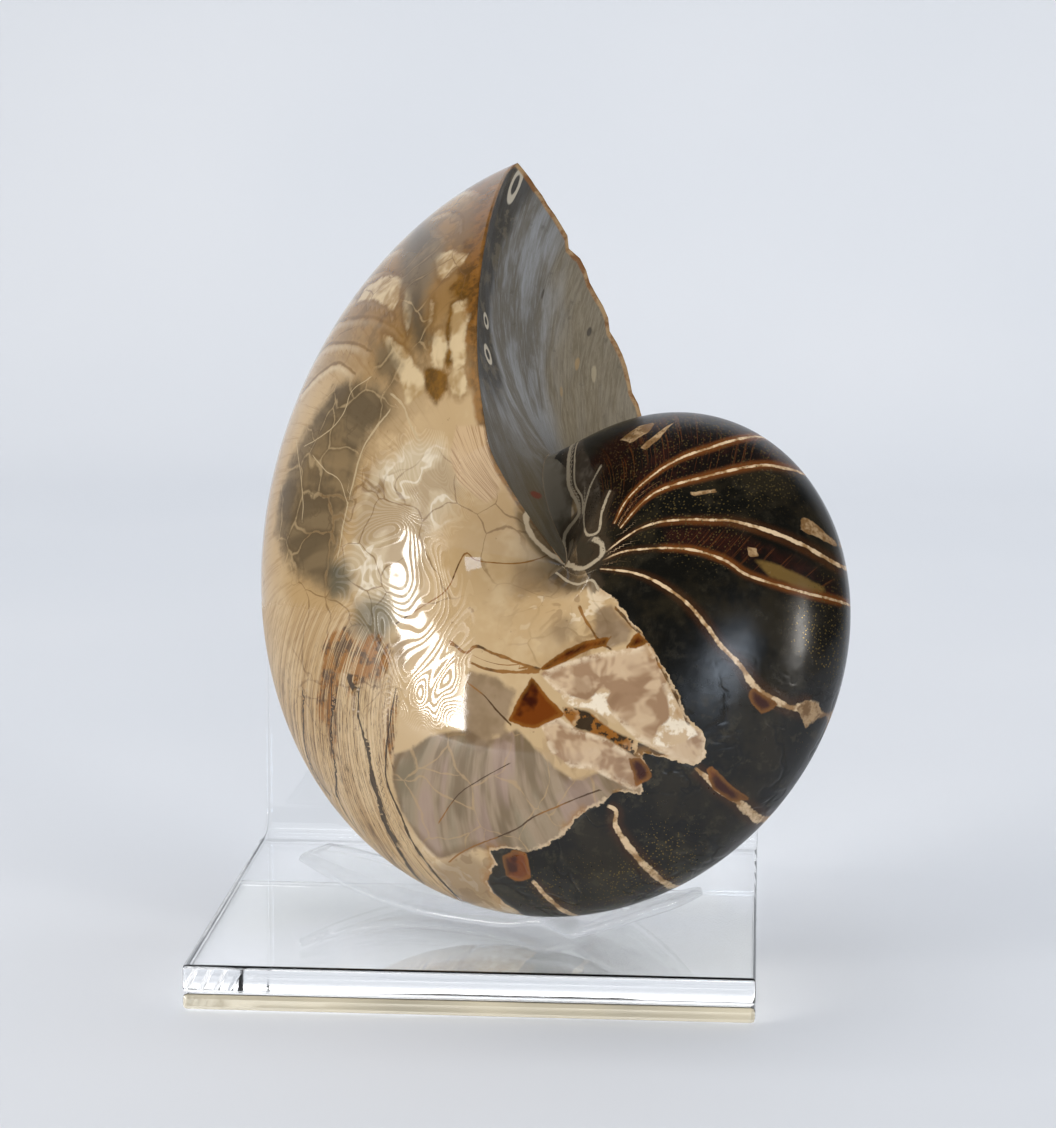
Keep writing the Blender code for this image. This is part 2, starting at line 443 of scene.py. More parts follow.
def nautilus_rows():
    """Rings of points from the lip once round to the mouth's foot, then back over the cupped mouth."""
    near = even_shares(NEAR_ROWS)
    far = even_shares(FAR_ROWS)[-2::-1]
    share = np.concatenate([near, far])
    side = np.concatenate([-np.ones(len(near)), np.ones(len(far))])
    step = np.linspace(0.0, 1.0, AROUND + 1)[:, None]
    chipped = np.clip(np.sin(share * 61.0) + np.sin(share * 97.0 + 1.0) + np.sin(share * 173.0), 0.0, 3.0)
    chipped = chipped * LIP_CHIPS * (side > 0.0) * np.clip((0.97 - share) / 0.1, 0.0, 1.0)
    lip = (lip_turn(share) + chipped)[None, :]
    turn = lip + (1.0 - lip) * step
    wall = coil_point(turn, share[None, :] + 0.0 * step, side[None, :] + 0.0 * step)
    right, axis, rise = coil_axes()
    backward = -math.sin(MOUTH_ANGLE) * right + math.cos(MOUTH_ANGLE) * rise
    part = np.concatenate([[0.006, 0.012], np.linspace(0.03, 1.0, MOUTH_ROWS)[:-1]])[:, None]
    cup = MOUTH_DEPTH * np.sin(math.pi * part) ** 0.8 * share[None, :] ** 0.5
    mouth = wall[0] * (1.0 - part[..., None]) + wall[-1] * part[..., None] + cup[..., None] * backward
    return share, side, turn, wall, mouth[::-1], part[::-1]


def outline_distance(place, outline, closed):
    """Distance in mm from each place to a line of points, and where on the line it is nearest.

    Returns the signed distance (inside, or left of the line, is positive), how far along
    the line the nearest spot is from 0 to 1, and whether that spot is past an open end.
    """
    points = np.array(outline, float)
    if closed:
        points = np.concatenate([points, points[:1]])
    best = np.full(len(place), FAR_AWAY)
    sign = np.ones(len(place))
    where = np.zeros(len(place))
    past = np.zeros(len(place), bool)
    inside = np.zeros(len(place), bool)
    count = len(points) - 1
    for n in range(count):
        start = points[n]
        run = points[n + 1] - start
        reach = place - start
        raw = (reach @ run) / (run @ run)
        share = np.clip(raw, 0.0, 1.0)
        gap = reach - share[:, None] * run
        far = np.hypot(gap[:, 0], gap[:, 1])
        nearer = far < best
        best = np.where(nearer, far, best)
        left = run[0] * reach[:, 1] - run[1] * reach[:, 0]
        sign = np.where(nearer, np.where(left >= 0.0, 1.0, -1.0), sign)
        where = np.where(nearer, (n + share) / count, where)
        ends = ((n == 0) & (raw < 0.0)) | ((n == count - 1) & (raw > 1.0))
        past = np.where(nearer, ends, past)
        crossed = (points[n, 1] > place[:, 1]) != (points[n + 1, 1] > place[:, 1])
        if abs(run[1]) > 1e-9:
            inside ^= crossed & (place[:, 0] < start[0] + run[0] * reach[:, 1] / run[1])
    if closed:
        sign = np.where(inside, 1.0, -1.0)
    return best * sign, where, past


def patches(place, outlines):
    """Signed distance in mm to the nearest of several closed outlines, positive inside."""
    return np.max([outline_distance(place, outline, True)[0] for outline in outlines], axis=0)


def curved(points, steps=6):
    """A smooth line through a few points, by cubic pieces that follow their neighbours."""
    points = np.array(points, float)
    padded = np.concatenate([2 * points[:1] - points[1:2], points, 2 * points[-1:] - points[-2:-1]])
    t = (np.arange(steps) / steps)[:, None]
    line = []
    for n in range(len(points) - 1):
        p0, p1, p2, p3 = padded[n:n + 4]
        line.append(0.5 * (2 * p1 + (p2 - p0) * t + (2 * p0 - 5 * p1 + 4 * p2 - p3) * t * t
                           + (3 * p1 - p0 - 3 * p2 + p3) * t * t * t))
    return np.concatenate(line + [points[-1:]])


def thin_lines(place, lines):
    """Two numbers for a group of thin lines: distance over half-width, and 1 near a line, 0 elsewhere."""
    best = np.full(len(place), FAR_AWAY)
    share = np.full(len(place), 9.0)
    near = np.zeros(len(place))
    for points, first, last in lines:
        signed, where, past = outline_distance(place, curved(points), False)
        width = first + (last - first) * where
        far = np.abs(signed)
        closer = far < best
        best = np.where(closer, far, best)
        share = np.where(closer, signed / width, share)
        fade = np.clip(width + LINE_REACH - far, 0.0, 1.0) * ~past
        near = np.where(closer, fade, near)
    return share, near


# Outlines in the coil's plane, in mm right of and above the coil's centre
FILLING = [(13, 1), (19.5, -3), (25, -6.5), (29.5, -10.5), (34.5, -15), (39, -21), (42.5, -27), (44, -30),
           (46.5, -31.5), (47, -35.5), (45, -38.5), (41, -38), (36, -37), (34.7, -37.6), (37, -40.5),
           (34.5, -42), (35, -45.5), (32, -45.5), (29, -45.5), (26.5, -48.5), (23.5, -50.5), (20, -54.5),
           (14, -58.5), (10.5, -59.5), (6, -60.5), (1.5, -61.5), (3, -64), (-1, -67), (-0.5, -70),
           (2.5, -72.5), (8, -95), (95, -95), (95, 60), (-5, 60), (-5, 26), (3, 22), (8, 12), (10, 6)]
AMBER = [
    [(10, -24.5), (7.6, -29.2), (5.8, -34.2), (9, -35), (12.4, -35), (15.6, -33), (18.5, -31.5),
     (14.5, -28.5)],
    [(10, -23.8), (13, -21), (17, -17.6), (20.3, -15.8), (26, -14), (25, -16.3), (21.8, -17.5),
     (13.5, -22.5)],
    [(4, -62), (7, -60.3), (9.8, -60.4), (9.7, -65.6), (6, -67), (3.8, -65.8)],
    [(54, -22), (54.8, -20.3), (57, -22), (59.2, -22.4), (59.2, -23.6), (56.5, -25.6), (54.7, -24)],
    [(29, -16.5), (30.5, -13.5), (31.5, -12.5), (34, -14.5), (31.5, -16)],
    [(47, -38.5), (48, -37.5), (51.5, -41), (54, -43), (51, -44), (48, -42.5)],
    [(32, -38.5), (34.5, -38), (36, -39.5), (37, -41.5), (33.5, -44.5), (33, -41)],
]
GLASSY = [
    [(32, 10), (39, 11.5), (47, 11), (54, 9), (59, 7.5), (64, 4.5), (66, 1), (62.5, 0), (58.5, 0.8),
     (53.5, 3), (48, 4.8), (40.5, 6.3), (34, 6.4)],
    [(6, 23), (7.5, 29), (15.5, 34.5), (25, 39), (35.5, 44), (45, 39), (54, 32), (50, 29), (47, 28),
     (41.5, 25), (32, 20.5), (24.5, 15), (19.5, 9.5), (12, 13.5)],
]
TAN_STREAK = [[(51.3, 5.8), (55, 5.7), (59.4, 4.4), (63.6, 2.6), (63.4, 1.1), (60, 1.4), (54.6, 3)]]
CHIPS = [
    [(56.8, 17), (58.2, 16.7), (62, 13.5), (62.6, 12.2), (60.7, 12.9), (57.3, 14.1)],
    [(49.3, 8.3), (51.1, 8.6), (51.8, 6.8), (50, 6.2)],
    [(12.8, 30.1), (15.9, 34.1), (19.4, 34.8), (19.3, 32.1), (16.1, 29.2)],
    [(19.2, 28.2), (22.6, 33.8), (24.1, 35.6), (23, 30.9), (20.8, 27.8)],
    [(61.8, -23.2), (63, -21.1), (64.8, -21.1), (65.1, -23), (64.1, -24.9), (62.9, -27), (62.4, -24.5)],
    [(34.8, 18.8), (39.9, 20.1), (40.1, 19.4), (35.6, 17.9)],
]
SMOKY = [
    [(-51, 35), (-45, 37), (-38, 36), (-30.5, 32.5), (-29.5, 28.5), (-34, 24), (-37, 19.5), (-38.5, 12.5),
     (-40, 5), (-41, -3.5), (-38, -9), (-41, -12.5), (-47, -10.5), (-56, -6), (-64, 2.5), (-65, 12),
     (-63, 19), (-59, 25), (-55, 31)],
    [(-51, 76), (-46.5, 80), (-31.5, 71), (-28, 63), (-27, 56), (-21, 44), (-23, 39), (-30, 45.5),
     (-37, 57), (-46.5, 67.5)],
    [(-40.7, 43.8), (-33, 44.4), (-28.6, 38.5), (-30.3, 33.4), (-37, 37.2)],
]
PEARLY = [
    [(-34, 14), (-28, 18), (-23, 21.5), (-14.5, 20.5), (-9, 13.5), (-11.5, 8), (-18, 2.5), (-19, -11),
     (-23.5, -20), (-29.5, -18), (-36.5, -10), (-39, -4), (-37, 5), (-35.5, 9)],
]
LAYERED = PEARLY + [[(-24, -8), (-10, -8), (-9, -20), (-10, -32), (-16, -35), (-22, -30), (-25, -20)]]
STRIPED = [[(-10, 25.3), (-2, 25.4), (0.5, 15), (-1.5, 11.5), (-4, 10.5), (-9, 13.5), (-11.5, 19)]]
NACRE = [
    [(-22, -44), (-17, -42), (-12.5, -39), (-3.5, -37), (1, -39), (8, -35.5), (11.5, -38), (17, -42.5),
     (21, -44.5), (26.5, -42), (34.7, -42.4), (40, -50), (30, -60), (14, -62), (6, -62), (-2, -61),
     (-12.5, -64.5), (-17.5, -60), (-21, -55.5), (-22.5, -49.5)],
]
WEATHERED = [
    [(-90, -12), (-52, -13), (-36, -14.5), (-22.5, -24), (-22, -30), (-23, -36.5), (-24, -44), (-24, -50),
     (-21, -56), (-18.5, -62), (-14, -67), (-12, -72.5), (-15, -90), (-60, -90), (-95, -50)],
]
OCHRE = [
    [(-21, 36.7), (-18, 38), (-13.6, 36.6), (-13.3, 32.3), (-16, 29.7), (-19, 31.7)],
    [(-24, 57.6), (-20.4, 58.2), (-23.2, 68.7), (-18, 68.4), (-12.2, 55.6), (-6.8, 39.3), (-11.4, 46),
     (-17, 53.2)],
    [(-17.4, 42.6), (-18.8, 53.2), (-15.7, 50.8), (-12.8, 39.3), (-14.6, 36.6)],
]
BLUE_SPOTS = [
    [(-43, -5.3), (-38.7, -4.3), (-36.8, -8), (-37.6, -11), (-41.3, -11)],
    [(-34, -13.2), (-27, -11.3), (-24.2, -15.7), (-26, -20.2), (-31, -21.6), (-35, -18.2)],
]
BROWN_SPOTS = [
    [(-23.7, -20), (-21.3, -19), (-19.8, -22.9), (-21, -25), (-23, -23.2)],
    [(-0.2, -0.8), (3.6, -0.4), (8.7, -2.6), (15, -5), (9.3, -5.5), (4.6, -5.4), (2.7, -7.8),
     (0.7, -5.2)],
    [(13.3, -12.5), (15.2, -11.7), (17, -14.2), (15.3, -16), (13.4, -14.5)],
    [(22, -23), (24, -22), (26.5, -23), (25.5, -25.5), (23.5, -25.5)],
    [(30, -19), (31.5, -18), (32, -20), (31, -21)],
    [(-14, -66.5), (-5, -63), (1, -65.5), (-3, -71), (-12, -72), (-13.5, -69.5)],
]
RUST = [
    [(-43, -28.5), (-42.5, -21), (-37, -18.5), (-34.5, -21.5), (-34.5, -26), (-38, -29), (-38.5, -36.5),
     (-40, -45.5), (-41, -39.5), (-46.5, -38.5)],
    [(-38, -24.5), (-35.5, -21), (-26, -19), (-24, -22.5), (-26, -27.5), (-32.5, -29), (-34.5, -32)],
    [(-46.5, -35.5), (-43, -34), (-42.5, -39), (-45, -39)],
    [(-24.5, -44.5), (-23, -34), (-22, -32.5), (-22, -41), (-23, -46.5)],
]
CREAM_BARS = [
    [(-31, 64.5), (-27, 60.5), (-24.5, 58), (-22.5, 59), (-22.5, 61), (-20, 62), (-20.5, 64.5),
     (-26.5, 66)],
    [(-26, 54.5), (-25, 55), (-23, 49.5), (-21.5, 42.5), (-23.5, 45)],
    [(-18, 52), (-14.5, 53), (-12.5, 50), (-9.5, 38), (-12, 36.5), (-15, 42.5)],
    [(-21, 46), (-18.5, 46.5), (-16.5, 42), (-16, 37), (-18.5, 38), (-20.5, 41)],
    [(-14, 35.5), (-10.5, 38), (-8.5, 35.5), (-7.5, 33.5), (-9.5, 31), (-12.5, 32)],
    [(-36, 57), (-34, 57.5), (-30, 53), (-29, 48), (-29, 44.5), (-33, 50)],
    [(-38.5, 47), (-29.5, 43), (-21.5, 35.5), (-21, 32), (-24.5, 30.5), (-28.5, 36), (-34, 40)],
    [(-55.5, 60.5), (-46.5, 62), (-39, 60), (-36.5, 54.5), (-36.5, 51.5), (-46.5, 55.5), (-55, 56)],
]
FLAP = [
    [(11.5, -23.5), (16, -21), (23.5, -18), (30.5, -16), (34, -15), (37, -19), (39.5, -23.5), (42, -27.5),
     (44, -30), (47, -31.5), (47.5, -34.5), (46, -38), (44, -38.5), (40.5, -37), (36.5, -35.5),
     (33.5, -34.5), (29, -31), (26.5, -30), (20.5, -29), (15, -26.5)],
    [(13, -34), (17, -32), (21, -34), (27, -35), (33.5, -38), (36, -39), (37, -41.5), (33.5, -45),
     (30, -44), (25, -42), (20, -42), (15.5, -39.5)],
]
WHITE = [
    [(16.5, -27.5), (19.5, -27.5), (22.5, -28), (25.5, -25), (27.5, -25.5), (27, -27.5), (30, -32.5),
     (27, -31.5), (24, -30), (18.5, -29.5)],
    [(38.5, -24), (40, -24), (42.5, -28.5), (45, -30.5), (46, -32), (42.5, -34), (39.5, -35.5),
     (36.5, -35), (38, -31.5), (40, -29)],
]
UNDER_FLAP = [
    [(17.5, -30), (23, -30), (28, -33), (33.5, -35), (40, -37), (39, -38.5), (33.5, -38), (27, -35),
     (21, -34), (18.5, -32)],
]
GLAZE = [
    [(21.5, -9), (24.5, -7.5), (30, -12.5), (29.5, -15), (25.5, -16.5), (22.5, -14)],
    [(-5.5, -33), (-4.5, -25), (1, -25.5), (6.5, -28), (6, -32.5), (5, -35.5), (7.5, -38.5), (2.5, -37.5),
     (0, -42), (-4, -38)],
]
WEDGE = [
    [(-2, 30), (0, 31), (5, 26.5), (12, 19), (17, 8), (15.5, 6), (7.5, 7), (3, 9), (6.5, 14), (3, 22.5)],
]
# Thin lines in the same plane, each with its half-width in mm at its two ends
CHAMBER_WALLS = [
    ([(19.7, 10.3), (21, 16), (25, 21.7), (29.6, 26.2), (35.6, 30), (41.5, 34.4), (47, 38)], 0.12, 0.45),
    ([(21.7, 9.4), (24.3, 14.4), (27.3, 18), (31.8, 20.5), (37, 22.8), (46.2, 27.1),
      (52.8, 27.5)], 0.15, 0.4),
    ([(20, 3.8), (23.4, 7.2), (27.4, 10.2), (33, 12), (40.2, 13), (47, 13.4), (57.3, 11.2),
      (66, 7.5)], 0.15, 0.42),
    ([(20, 2), (23.6, 4), (28.8, 5.2), (34.7, 6), (40.6, 6), (46.3, 4.6), (51, 2.3), (60, 0.9),
      (66, 0.6)], 0.2, 0.3),
    ([(20, 0), (26.3, 0), (32, -1.2), (38.4, -4), (43.3, -7.8), (48, -13), (52.3, -16.5), (55, -20),
      (58.7, -22.2), (61.8, -23.2), (64.5, -21.5)], 0.16, 0.8),
    ([(45.2, -38.7), (49.4, -42), (52.3, -44), (55, -48)], 0.5, 1.1),
    ([(28, -48.8), (29.6, -49.6), (29.2, -52.2), (31.2, -56), (33.6, -59.6), (36.5, -63.5)], 0.3, 0.9),
    ([(9.6, -66.2), (11.8, -69), (15, -73)], 0.5, 0.8),
]
CRACKS = [
    ([(-23.6, -16.6), (-17.8, -12.3), (-12.2, -7.8), (-9.3, -0.3), (-6.8, -1.2), (-0.4, -0.4),
      (4.8, 2.7)], 0.16, 0.12),
    ([(-10, -19), (-6, -21), (-4, -19.5), (0.5, -20.5), (5.5, -21.5), (11.5, -23)], 0.3, 0.35),
    ([(-4.5, -23), (-0.5, -24), (4, -24), (11.5, -23)], 0.2, 0.4),
    ([(-5, -27), (-0.5, -29.5), (3, -32.5), (6.5, -35)], 0.15, 0.2),
    ([(17.5, -8.5), (20, -11.5), (23, -15), (26.5, -17)], 0.3, 0.3),
    ([(25.5, -8), (30.5, -12), (34, -14.5), (37, -19), (40, -23.5), (43.5, -30)], 0.25, 0.3),
    ([(-10, -64.8), (-6, -62.2), (0.3, -59.5), (7.4, -56.5), (12.8, -52.7), (20, -49),
      (26.5, -45.8)], 0.15, 0.15),
    ([(-11, -57), (-5.3, -50.6), (0, -47), (7, -42.8)], 0.12, 0.12),
]
SPIRAL_CRACKS = [
    ([(-49.5, -32), (-50, -38.5), (-51, -45), (-47.5, -51), (-44, -54)], 0.15, 0.2),
    ([(-40, -28), (-40, -44), (-40, -48.5), (-41, -53.5), (-39.5, -57.5), (-36, -62)], 0.12, 0.15),
    ([(-32, -30.5), (-31.5, -37.5), (-28.5, -43), (-28.5, -49), (-26.5, -54.5), (-25, -61),
      (-21, -70)], 0.15, 0.5),
    ([(-22, -30), (-23, -36.5), (-24, -44), (-24, -50), (-21, -56.5), (-18.5, -62),
      (-12, -72)], 0.15, 0.35),
    ([(-38.5, -33.5), (-40.5, -41), (-39.5, -48.5), (-41.5, -54)], 0.2, 0.3),
    ([(-32, -36), (-29.5, -42.5), (-27.5, -50.5), (-26.5, -57.5), (-23.5, -62.5)], 0.25, 0.5),
    ([(-34.5, -28), (-34.5, -30), (-33, -31)], 0.6, 0.5),
    ([(-49, -33.5), (-50, -39), (-51, -46.5), (-49, -51.5)], 0.15, 0.15),
]
VEINS = [
    ([(-29.5, 28.5), (-34, 24), (-37, 19.5), (-38.5, 12.5), (-40, 5), (-41, -3.5)], 0.3, 0.14),
    ([(-38, 36.3), (-43.7, 33.5), (-44.7, 29), (-47.2, 25.6), (-52, 23), (-57.6, 21.3)], 0.14, 0.14),
    ([(-30.4, 32.3), (-25.5, 29.6), (-23.3, 25.3), (-19, 20.7)], 0.25, 0.25),
    ([(-53.4, 19.2), (-48, 15.6), (-42.7, 13.3), (-39.4, 8)], 0.12, 0.12),
    ([(-62, 23.2), (-57.4, 16), (-54.4, 9), (-53.8, 4.6)], 0.12, 0.12),
]
LOBE_LINES = [(points, 0.6, 0.3) for points in (
    [(-63, 57), (-58, 58), (-46.5, 55.5), (-38.5, 52.5), (-34.5, 49)],
    [(-57.5, 63.5), (-48, 63.5), (-40, 61), (-37, 58.5)],
    [(-54.5, 70), (-46, 69.5), (-36, 66.5), (-33, 64)],
    [(-49.5, 75), (-42.5, 75), (-34.5, 72), (-29, 69)],
    [(-43.5, 78), (-36, 78.5), (-29.5, 76), (-25.5, 71.5)],
    [(-41, 85.5), (-34.5, 85.5), (-27, 82), (-24, 79)],
    [(-66, 50), (-59.5, 52), (-45.5, 51), (-36, 48), (-30.5, 44.5)],
    [(-68.5, 42.5), (-61.5, 46), (-49, 45), (-40, 42)],
    [(-67, 35), (-59, 39), (-52, 40.5), (-44, 37)],
)]
AXIS_RINGS = [
    ([(-2.4, 30), (0, 24.7), (2.3, 19.2), (5.6, 15.8), (7.2, 12.5), (3.4, 9), (3.4, 5.8), (6, 2.8),
      (12, 0.5), (16, 0.3), (19, 2.7), (18.3, 5.4), (15.3, 6.7)], 0.45, 0.6),
    ([(-0.8, 30.4), (1.8, 25), (4, 19.8), (7.4, 16.4), (8.8, 12.6)], 0.2, 0.25),
    ([(6.5, -0.7), (10.6, -2.6), (15.3, -3.6), (18.8, -2.6), (21, -4.6)], 0.25, 0.25),
    ([(10.5, 24), (9, 18), (9.5, 12), (12.5, 8), (16, 8.5), (15, 13), (15.5, 18)], 0.25, 0.35),
]
# What the shell's material reads as numbers in mm, by the names that it reads them under
PATCHES = {"amber": AMBER, "glassy": GLASSY, "tan": TAN_STREAK, "chips": CHIPS, "smoky": SMOKY,
           "pearly": PEARLY, "layered": LAYERED, "striped": STRIPED, "nacre": NACRE,
           "weathered": WEATHERED, "ochre": OCHRE, "blue": BLUE_SPOTS, "brown": BROWN_SPOTS,
           "rust": RUST, "bars": CREAM_BARS, "flap": FLAP, "white": WHITE, "under_flap": UNDER_FLAP,
           "glaze": GLAZE, "wedge": WEDGE}
LINE_GROUPS = {"walls": CHAMBER_WALLS, "cracks": CRACKS, "spirals": SPIRAL_CRACKS, "veins": VEINS,
               "rings": AXIS_RINGS, "lobes": LOBE_LINES}


def build_nautilus():
    """The closed coil mesh with its UV maps and the distances that its material reads."""
    share, side, turn, wall, mouth, part = nautilus_rows()
    rings = np.concatenate([wall, mouth])
    count, width = rings.shape[0], rings.shape[1]
    poles = coil_point(np.zeros(2) + 0.5, np.zeros(2), np.array([-1.0, 1.0]))
    points = np.concatenate([rings.reshape(-1, 3), poles])
    ring = np.arange(count)
    after = (ring + 1) % count
    column = np.arange(width - 1)
    corner = ring[:, None] * width + column[None, :]
    next_corner = after[:, None] * width + column[None, :]
    quads = np.stack([corner + 1, next_corner + 1, next_corner, corner], -1).reshape(-1, 4)
    near_fan = np.stack([np.full(count, count * width), ring * width, after * width], -1)
    last = width - 1
    far_fan = np.stack([np.full(count, count * width + 1), after * width + last, ring * width + last], -1)
    faces = quads.tolist() + near_fan.tolist() + far_fan.tolist()
    ob = add_mesh("nautilus_shell", points, faces)
    mesh = ob.data
    cupped = ring >= len(wall) - 1
    in_mouth = np.concatenate([np.repeat(cupped, width - 1), cupped, cupped])
    mesh.polygons.foreach_set("material_index", in_mouth.astype(np.int32))
    mesh.polygons.foreach_set("use_smooth", np.ones(len(faces), bool))
    right, axis, rise = coil_axes()
    outward = math.cos(MOUTH_ANGLE) * right + math.sin(MOUTH_ANGLE) * rise
    offset = points - np.array([COIL_X, COIL_Y, COIL_Z])
    across = offset @ axis * 1000.0
    up_mouth = offset @ outward * 1000.0
    rows_turn = np.concatenate([turn, np.ones((len(mouth), width))])
    rows_share = np.broadcast_to(share * side, rings.shape[:2])
    coil_uv = np.stack([rows_turn, rows_share], -1).reshape(-1, 2)
    coil_uv = np.concatenate([coil_uv, [[0.5, 0.0], [0.5, 0.0]]])
    mouth_uv = np.stack([across, up_mouth], -1) / 100.0
    loops = np.zeros(len(mesh.loops), np.int32)
    mesh.loops.foreach_get("vertex_index", loops)
    for name, values in (("coil", coil_uv), ("mouth", mouth_uv)):
        layer = mesh.uv_layers.new(name=name)
        layer.uv.foreach_set("vector", values[loops].astype(np.float32).ravel())
    place = np.stack([offset @ right, offset @ rise], -1) * 1000.0
    whorl = coil_uv[:, 0]
    numbers = {
        "filling": np.where(whorl < 0.35, -9.0, patches(place, [FILLING])),
        "foot": (whorl - FOOT_TURN) * 100.0,
        "axis": np.hypot(place[:, 0] - AXIS_PLACE[0], place[:, 1] - AXIS_PLACE[1]),
    }
    for name, outlines in PATCHES.items():
        numbers[name] = patches(place, outlines)
    for name, lines in LINE_GROUPS.items():
        numbers[name], numbers[name + "_near"] = thin_lines(place, lines)
    in_row = np.full(len(points), 9.0)
    edge_share = np.repeat(np.concatenate([np.zeros(len(wall)), part[:, 0]]), width)
    across_cup = np.linalg.norm(wall[0] - wall[-1], axis=1)
    in_row[:count * width] = edge_share * np.tile(across_cup, count) * 1000.0
    numbers["lip"] = in_row
    for name, values in numbers.items():
        layer = mesh.attributes.new(name, "FLOAT", "POINT")
        layer.data.foreach_set("value", np.asarray(values, np.float32))
    mesh.update()
    return ob


def line_mask(paint, name, shift, wobble, soft=0.35):
    """1 on the thin lines of a group, shifted sideways and varied in width by a little."""
    line = abs(paint.attribute(name) + shift) + wobble
    return line.rise(1.0 + soft, 1.0 - soft) * paint.attribute(name + "_near")


def shell_paint():
    """The outer wall: cream shell with its stains and cracks, dark filling with thin chamber walls."""
    paint = Paint("polished fossil shell", Specular_IOR_Level=0.45)
    spot = paint.place()
    grid = paint.node("ShaderNodeUVMap", 0, {"uv_map": "coil"})
    turn = paint.part(grid, "X")
    share = paint.part(grid, "Y")
    broad = paint.noise(spot, 22.0, 2.0, 0.55)
    cloud = paint.noise(spot, 60.0, 4.0, 0.68)
    fine = paint.noise(spot, 300.0, 3.0, 0.7)
    bent = paint.warped(spot, 70.0, 0.012)
    swell = cloud - 0.5
    grit = fine - 0.5
    edge = swell * 3.4 + grit * 1.8
    field = paint.attribute

    def zone(name, ragged, start, end):
        """1 inside a group of outlines and 0 outside, over an edge made ragged by noise."""
        return (field(name) + edge * ragged).rise(start, end)

    outward = abs(share)
    inner = 1.0 - outward
    growth = turn + inner * 0.075 - inner * inner * 0.07 + (broad - 0.5) * 0.012
    lines = paint.flat_noise(growth * 300.0, share * 5.0, 3.0, 0.7)
    bands = paint.flat_noise(growth * 46.0, share * 2.2, 2.0, 0.5)
    grain = outward - turn * 4.5
    streaks = paint.flat_noise(turn * 12.0, grain * 90.0, 3.0, 0.75)
    # Cream shell with growth lines, blotches and dark speckles
    paint.colour = broad.tones(0.4, 0.6, (190, 162, 122), (178, 147, 103))
    paint.lay(cloud.rise(0.48, 0.66) * 0.5, (206, 181, 143))
    worn = zone("weathered", 1.5, -1.5, 2.5)
    lined = turn.rise(0.36, 0.2) * outward.rise(0.3, 0.5)
    paint.lay(lines.rise(0.5, 0.68) * lined * 0.35, (140, 106, 66))
    blotch = paint.noise(bent, 105.0, 3.0, 0.66)
    low_flank = field("filling").rise(-24.0, -4.0) * turn.rise(0.3, 0.45)
    paint.lay(blotch.rise(0.53, 0.57) * low_flank * 0.55, (134, 106, 74))
    paint.lay(blotch.rise(0.44, 0.41) * low_flank * 0.7, (220, 200, 170))
    paint.lay(fine.rise(0.66, 0.72) * (1.0 - field("pearly").rise(-4.0, 2.0)) * 0.45, (112, 84, 54))
    mottle = turn.rise(0.26, 0.06) * outward.rise(0.3, 0.5) * outward.rise(0.97, 0.8)
    paint.lay(mottle * cloud.rise(0.46, 0.56) * 0.6, (140, 110, 70))
    # Lobes along the outer edge: a brown line for each, with painted light on the pale side of it and
    # painted shade on the darker side, as if the shell overlapped there; then the brown stretch by the
    # lip
    lobe = field("lobes") + swell * 6.0
    lobe_light_and_shade = field("lobes_near") * broad.rise(0.3, 0.5)
    paint.lay(lobe_light_and_shade * lobe.rise(0.0, -3.0) * 0.7, (218, 198, 164))
    paint.lay(lobe_light_and_shade * lobe.rise(0.5, 3.0) * 0.45, (150, 124, 90))
    paint.lay(line_mask(paint, "lobes", swell * 6.0, fine * 1.2 - 0.5, 0.6) * 0.7, (112, 84, 52))
    by_lip = (growth + swell * 0.06).rise(0.13, 0.07) * outward.rise(0.4, 0.6) * outward.rise(0.97, 0.85)
    paint.lay(by_lip * 0.85, cloud.tones(0.46, 0.54, (130, 94, 44), (104, 72, 30)))
    paint.lay(zone("ochre", 1.2, -0.9, 0.9) * 0.92, fine.tones(0.35, 0.65, (120, 80, 18), (84, 56, 14)))
    bars = field("bars") + edge * 1.3
    paint.lay(bars.rise(-2.0, -0.2) * cloud.rise(0.56, 0.44) * 0.6, (108, 74, 30))
    paint.lay(bars.rise(-0.6, 0.6) * 0.85, blotch.tones(0.42, 0.6, (210, 186, 146), (164, 134, 90)))
    rim = (growth + grit * 0.01 + swell * 0.02).rise(0.024, 0.014)
    paint.lay(rim * 0.8, fine.tones(0.4, 0.6, (128, 84, 34), (90, 60, 26)))
    # The smoky zone with its net of cells
    smoky = zone("smoky", 2.0, -2.2, 2.6)
    smoke = bands.tones(0.42, 0.6, (114, 96, 70), (88, 74, 54))
    smoke = smoke.under(cloud.rise(0.5, 0.66) * 0.6, (136, 112, 78))
    net = paint.cells(bent, 85.0, "DISTANCE_TO_EDGE")
    cell_edge = net + grit * 0.08
    smoke = smoke.under(cell_edge.rise(0.09, 0.04) * 0.35, (78, 62, 42))
    smoke = smoke.under(cell_edge.rise(0.03, 0.0) * 0.6, (176, 152, 114))
    smoke = smoke.under(abs(swell).rise(0.012, 0.002) * 0.5, (84, 68, 48))
    paint.lay(smoky * 0.92, smoke)
    # Milky marbling, hairlines and small stains
    pearly = zone("pearly", 1.5, -2.5, 2.5)
    marble = paint.noise(bent, 62.0, 3.0, 0.55)
    milk = broad.tones(0.4, 0.6, (204, 188, 160), (188, 168, 136))
    milk = milk.under(marble.rise(0.52, 0.58) * 0.6, (146, 118, 80))
    milk = milk.under(abs(marble - 0.5).rise(0.02, 0.005) * 0.7, (226, 214, 192))
    paint.lay(pearly * 0.85, milk)
    paint.lay((net + grit * 0.06).rise(0.022, 0.004) * broad.rise(0.48, 0.56) * 0.6, (110, 80, 46))
    striped = zone("striped", 0.5, -0.4, 0.6)
    paint.lay(striped, mixed(paint.tree, lines.rise(0.48, 0.6) * 0.6, (196, 166, 128), (140, 104, 66)))

    paint.lay((field("blue") + edge).rise(-2.6, 1.6) * 0.75, (92, 88, 72))
    paint.lay((field("brown") + edge).rise(-2.0, 1.0) * 0.6, (124, 100, 72))
